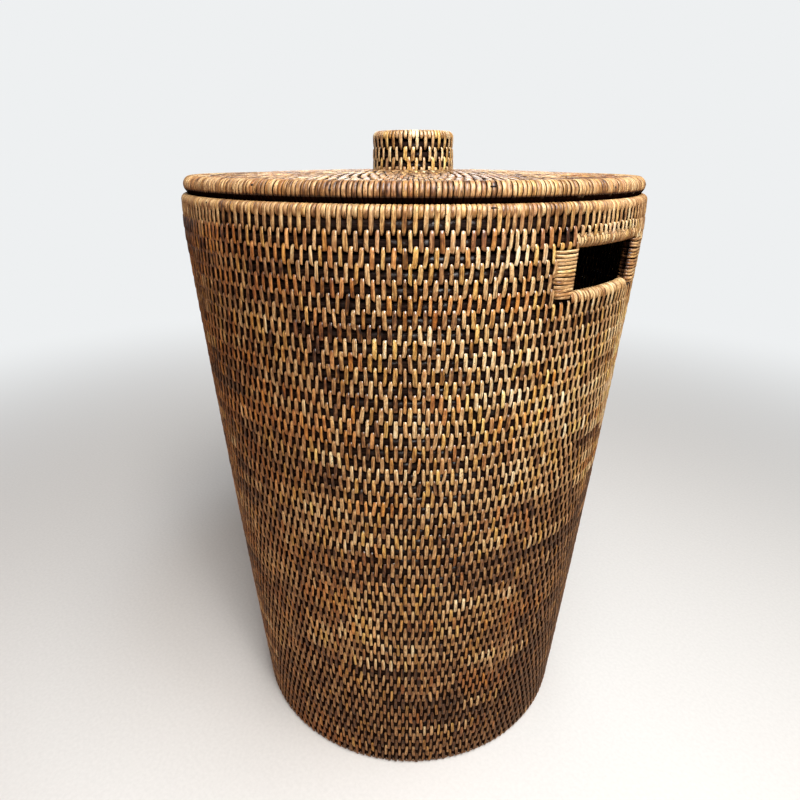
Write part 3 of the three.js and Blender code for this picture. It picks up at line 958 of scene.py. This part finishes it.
def lid():
    radius, z = LID_CENTRE
    tube = LID_TUBE - STRIP
    count = round(TURN * LID_RADIUS / LID_WRAP_PITCH)
    arc = np.linspace(math.radians(172), math.radians(-180), LID_WRAP_RINGS)
    at = full_turn(count) + rng.normal(0, 0.1 * MM, count) / radius
    lean = (0.5 + 0.35 * np.sin(at * 9) + rng.normal(0, 0.12, count))[:, None]
    lean = lean * LID_WRAP_PITCH * np.linspace(0.5, -0.5, LID_WRAP_RINGS)[None] / radius
    r, h, tilt = wrap_path(LID_CENTRE, tube, arc)
    r = r + rng.normal(0, 0.12 * MM, (count, 1))
    under = -np.degrees(arc)
    seat = smooth((under - 42) / 20) * (1 - smooth((under - 105) / 25))
    half = LID_WRAP_PITCH * LID_WRAP_SHARE * rng.uniform(0.84, 1.04, (count, 1))
    half = np.maximum(half, LID_WRAP_PITCH * SEAT_SPREAD * seat)
    thickness = STRIP * (1 + SEAT_SWELL * seat)
    tints = wrap_tints(count, 0.55)
    tints[:, 0] -= EDGE_DARKENING * np.exp(-((np.degrees(at) - EDGE_DARKENING_AT) / EDGE_DARKENING_REACH) ** 2)
    tints = np.repeat(tints[:, None], LID_WRAP_RINGS, axis=1)
    # Painted shade: the roll's underside, where the lid rests on the rim, turns dark
    tints[..., 0] -= SEAT_PAINTED_SHADE * smooth((under - 18) / 16)[None]
    strips = Strips(CROWNED)
    strips.polar(at[:, None] + lean, r, h, tilt, half, thickness, np.clip(tints, 0, 1))
    strips.build("lid_edge_wraps", "lid", "rattan_wrap", wrap_rattan, ["lid_wrap"])
    core = Strips(ROUND, closed=True)
    ring(core, (radius, z, tube, tube))
    core.build("lid_edge_core", "lid", "dark_cane", cane, ["lid_cane"])
    hems = [(radius + LID_TUBE * math.cos(a), z + LID_TUBE * math.sin(a)) for a in (LID_HEM, -LID_HEM)]
    disc("lid", "lid", "rattan_lid", lid_rattan, "lid_panel", panel_high.x, lid_face_z, LID_THICKNESS, hems)


# Knob: four turns of coil under a small coiled cap
KNOB_STITCHES = 32
KNOB_ROWS = 4
KNOB_CANE = 4.2 * MM
KNOB_FOOT = 2 * MM
KNOB_TUCK = 1.5 * MM
KNOB_WRAP_WIDTH = 3.24 * MM
CAP_CANE = KNOB_CANE - 0.3 * MM
CAP_PITCH = 8.2 * MM
CAP_STITCH_PITCH = 6.4 * MM
CAP_EDGE = (2.4 * MM, 0.4 * MM)


def knob():
    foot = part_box("knob_side")[0].z
    top_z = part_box("knob_cap")[1].z
    crest_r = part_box("knob_side")[1].x - STRIP
    ring_r = crest_r - KNOB_CANE
    pitch = (top_z - KNOB_CANE - STRIP - foot - KNOB_FOOT) / (KNOB_ROWS - 1)
    heights = [foot + KNOB_FOOT + pitch * row for row in range(KNOB_ROWS)]
    canes = Strips(ROUND, closed=True)
    for z in heights:
        ring(canes, (ring_r, z, KNOB_CANE - 0.6 * MM, pitch / 2 + CANE_OVERLAP), 96)
    cap_rows = round((ring_r - KNOB_CANE) / CAP_PITCH)
    cap_step = (ring_r - KNOB_CANE) / cap_rows
    for row in range(cap_rows):
        ring(canes, ((row + 0.5) * cap_step, heights[-1], cap_step / 2, CAP_CANE), 60)
    canes.build("knob_canes", "lid", "rattan_lid", cane, ["knob_side"])
    strips = Strips(CROWNED)
    turn = TURN / KNOB_STITCHES
    for row in range(KNOB_ROWS - 1, -1, -1):
        angles = turn * (np.arange(KNOB_STITCHES) + (0.5 if row % 2 else 0))
        angles = angles + rng.normal(0, 0.012, KNOB_STITCHES)
        start, below = (crest_r, heights[row]), heights[row] - pitch
        tints = even_tints(KNOB_STITCHES, 0.63, 0.1)
        if row == KNOB_ROWS - 1:
            knob_top_wraps(strips, angles, (ring_r, heights[row]), below, tints)
        elif row > 0:
            bridge(strips, angles, start, (crest_r, below), 1, tints)
        else:
            bridge(strips, angles, start, (crest_r, foot - KNOB_TUCK), 1, tints, overrun=0.0)
    face = heights[-1] + CAP_CANE
    angles = full_turn(6)
    for row in range(1, cap_rows + 1):
        r = row * cap_step
        angles = next_row(angles, round(TURN * r / CAP_STITCH_PITCH))
        start = (r + cap_step / 2, face) if row < cap_rows else (ring_r - CAP_EDGE[0], face - CAP_EDGE[1])
        bridge(strips, angles, start, (r - cap_step / 2, face), -1, even_tints(len(angles), 0.62, 0.12))
    strips.build("knob_stitches", "lid", "rattan_lid", lid_rattan, ["knob_cap"])


def knob_top_wraps(strips, angles, centre, below, tints):
    """Over the knob's top edge: each wrap starts on the cap, and every second one runs down the side."""
    doubled = between(angles)
    drops = np.linspace(centre[1] - 2.2 * MM, below - STITCH_OVERRUN * 0.8, 4)
    radii = centre[0] + KNOB_CANE - np.array([0.0, 0.1, 0.5, 1.6]) * MM
    taper = np.concatenate([(0.5, 0.85), np.ones(9), (0.95, 0.8, 0.5)])
    for first, last, steps in ((1, -6, 10), (0, -28, 14)):
        arc = np.linspace(math.radians(135), math.radians(last), steps)
        places = (radii, drops) if first else ()
        r, h, tilt = wrap_path(centre, KNOB_CANE, arc, *places)
        picked = doubled[first::2, None]
        half = KNOB_WRAP_WIDTH / 2 * taper[None] * rng.uniform(0.92, 1.04, (len(picked), 1))
        if not first:
            r[:, -1] -= 0.9 * MM
        strips.polar(picked, r, h, tilt, half, STRIP, tints)


# Nails that hold the windings, and dark lines where one winding strip ends and the next begins.
# Each spot is an angle round the hamper and a height up the roll, both in degrees.
NAIL_RADIUS = 0.85 * MM
LID_NAILS = (
    (-77, 29), (-60, 12), (-1, 10), (22, 8), (51, 12), (84, 6),
    (117, 10), (142, 9), (171, 12), (199, 8), (240, 10),
)
RIM_NAILS = ((-91.3, 22), (37, 12), (128, 16), (214, 10))
LID_SPLICES = ((-30.95, 30), (97, 25), (205, 30))
RIM_SPLICES = ((-30.95, 33), (146, 28))
SPLICE_WIDTH = 3.7 * MM
SPLICE_LINE = 1.15 * MM
SPLICE_SUNK = 0.5 * MM

ROLLS = (
    ("lid", LID_CENTRE, LID_TUBE, LID_NAILS, LID_SPLICES),
    ("hamper", RIM_CENTRE, RIM_TUBE, RIM_NAILS, RIM_SPLICES),
)


def on_roll(middle, tube, degrees, rise):
    """A point on a roll's surface, with its outward, sideways and upward directions."""
    a, t = math.radians(degrees), math.radians(rise)
    out, side = turned(a, math.cos(t), 0, math.sin(t)), turned(a, 0, 1, 0)
    return turned(a, middle[0], 0, middle[1]) + out * tube, out, side, np.cross(out, side)


def nails():
    lift = np.array([-1.0, -0.1, 0.12, 0.28, 0.34])[:, None] * MM
    size = NAIL_RADIUS * np.array([0.6, 1, 0.97, 0.7, 0.25])[None]
    for body, middle, tube, spots, _ in ROLLS:
        strips = Strips(ROUND)
        for spot in spots:
            centre, out, side, up = on_roll(middle, tube, *spot)
            across, along = (np.broadcast_to(way, (1, len(lift), 3)) for way in (side, up))
            strips.add((centre + out * lift)[None], across, along, size, size, [(0.5, 0.5, rng.random())])
        strips.build(f"{body}_nails", body, "dark_cane", nail_finish)


def splices():
    for body, middle, tube, _, spots in ROLLS:
        strips = Strips(PLAIN)
        for degrees, rise in spots:
            turns = degrees + np.degrees(np.linspace(-0.5, 0.5, 5) * SPLICE_WIDTH / (middle[0] + tube))
            places = [on_roll(middle, tube - SPLICE_SUNK, turn, rise) for turn in turns]
            centre, out, _, up = (np.array(part)[None] for part in zip(*places))
            strips.add(centre, up, out, SPLICE_LINE / 2, SPLICE_SUNK + 0.25 * MM, [(0.5, 0.5, 0.5)])
        strips.build(f"{body}_splices", body, "dark_cane", cane)


wall_canes()
wall_stitches()
foot_stitches()
rim()
slot_frame("right", 0.0)
slot_frame("left", math.pi)
base()
lid()
knob()
nails()
splices()


# Stage, lights and camera
FRONT = math.radians(-45)
FLOOR_REACH = 5.0
FLOOR_CORNERS = 96
BACKDROP = srgb(238, 240, 241)
BOUNCE = (0.42, 0.27, 0.18, 1.0)
ROOM_LIGHT = (1.0, 0.86, 0.74, 1.0)
ROOM_STRENGTH = 0.07
GLOSSY_SHARE = 0.2

# Each light's turn from the camera's side and elevation in degrees, distance, width, height, watts,
# colour, and the height of the point that it faces
DAYLIGHT = (1.0, 0.985, 0.96)
LIGHTS = {
    "key": (12, 42, 1.4, 0.6, 0.8, 24.5, DAYLIGHT, 0.5),
    "high": (32, 58, 1.0, 0.5, 0.7, 12, DAYLIGHT, 0.56),
    "top": (45, 76, 1.3, 0.3, 0.3, 4, (0.66, 0.84, 1.0), 0.45),
    "fill": (-75, 4, 2.0, 1.0, 1.0, 2.4, (1.0, 0.27, 0.08), 0.15),
    "back": (180, 16, 2.3, 1.4, 1.2, 13, (1, 1, 1), 0.32),
}


def area_light(name, turn, elevation, distance, width, height, power, colour, target_z):
    data = bpy.data.lights.new(name, "AREA")
    data.shape = "RECTANGLE"
    data.size, data.size_y = width, height
    data.energy = power
    data.color = colour
    light = put_in_scene(name, data)
    a, e = FRONT + math.radians(turn), math.radians(elevation)
    place = Vector(turned(a, distance * math.cos(e), 0, distance * math.sin(e)))
    light.location = place + Vector((0, 0, target_z))
    light.rotation_euler = (-place).to_track_quat("-Z", "Y").to_euler()


def floor():
    mesh = bpy.data.meshes.new("floor")
    corners = turned(full_turn(FLOOR_CORNERS), FLOOR_REACH, 0, 0).tolist()
    mesh.from_pydata(corners, [], [tuple(range(FLOOR_CORNERS))])
    obj = put_in_scene("floor", mesh)
    shader = new_shader("pale_floor")
    place = shader.add("ShaderNodeTexCoord", output="Object")
    colour = shader.colours(shader.noise(place, 260.0, 3.0), ((0.3, 219, 216, 213), (0.7, 225, 222, 219)))
    lit = shader.add("ShaderNodeBsdfPrincipled", {"Base Color": colour, "Roughness": 0.7})
    bounce = shader.add("ShaderNodeBsdfDiffuse", {"Color": BOUNCE})
    white = shader.add("ShaderNodeEmission", {"Color": BACKDROP})
    distance = shader.add("ShaderNodeVectorMath", {0: place}, "Value", operation="LENGTH")
    seen = shader.add("ShaderNodeLightPath", output="Is Camera Ray")
    fade = shader.times(shader.ramp(distance, 0.5, 1.9), seen)
    mixed = shader.blend(fade, shader.blend(seen, bounce, lit), white)
    shader.node("ShaderNodeOutputMaterial", {"Surface": mixed})
    mesh.materials.append(shader.owner)


def world():
    """The backdrop for the camera, a dim warm room for everything else, a little of both in reflections."""
    bpy.context.scene.world = bpy.data.worlds.new("studio")
    nodes = Nodes(bpy.context.scene.world)
    seen = nodes.add("ShaderNodeBackground", {"Color": BACKDROP})
    light = nodes.add("ShaderNodeBackground", {"Color": ROOM_LIGHT, "Strength": ROOM_STRENGTH})
    ray = nodes.node("ShaderNodeLightPath").outputs
    share = nodes.math("MULTIPLY_ADD", ray["Is Glossy Ray"], GLOSSY_SHARE, ray["Is Camera Ray"], clamp=True)
    nodes.node("ShaderNodeOutputWorld", {"Surface": nodes.blend(share, light, seen)})


CAMERA_DISTANCE = 582.7 * MM
CAMERA_HEIGHT = 574.5 * MM
CAMERA_SIDE = -2.5 * MM
CAMERA_PITCH = math.radians(22.445)
CAMERA_YAW = math.radians(0.905)
CAMERA_ROLL = math.radians(0.085)
LENS_MM = 25.96
SENSOR_MM = 36


def camera():
    data = bpy.data.cameras.new("camera")
    data.lens = LENS_MM
    data.sensor_width = SENSOR_MM
    obj = put_in_scene("camera", data)
    place = Vector(turned(FRONT, CAMERA_DISTANCE, CAMERA_SIDE, CAMERA_HEIGHT))
    turn = Matrix.Rotation(FRONT + math.pi / 2 + CAMERA_YAW, 4, "Z")
    nod = Matrix.Rotation(math.pi / 2 - CAMERA_PITCH, 4, "X")
    obj.matrix_world = Matrix.Translation(place) @ turn @ nod @ Matrix.Rotation(CAMERA_ROLL, 4, "Z")
    bpy.context.scene.camera = obj


floor()
world()
for name, settings in LIGHTS.items():
    area_light(name, *settings)
camera()
bpy.context.scene.view_settings.view_transform = "Standard"
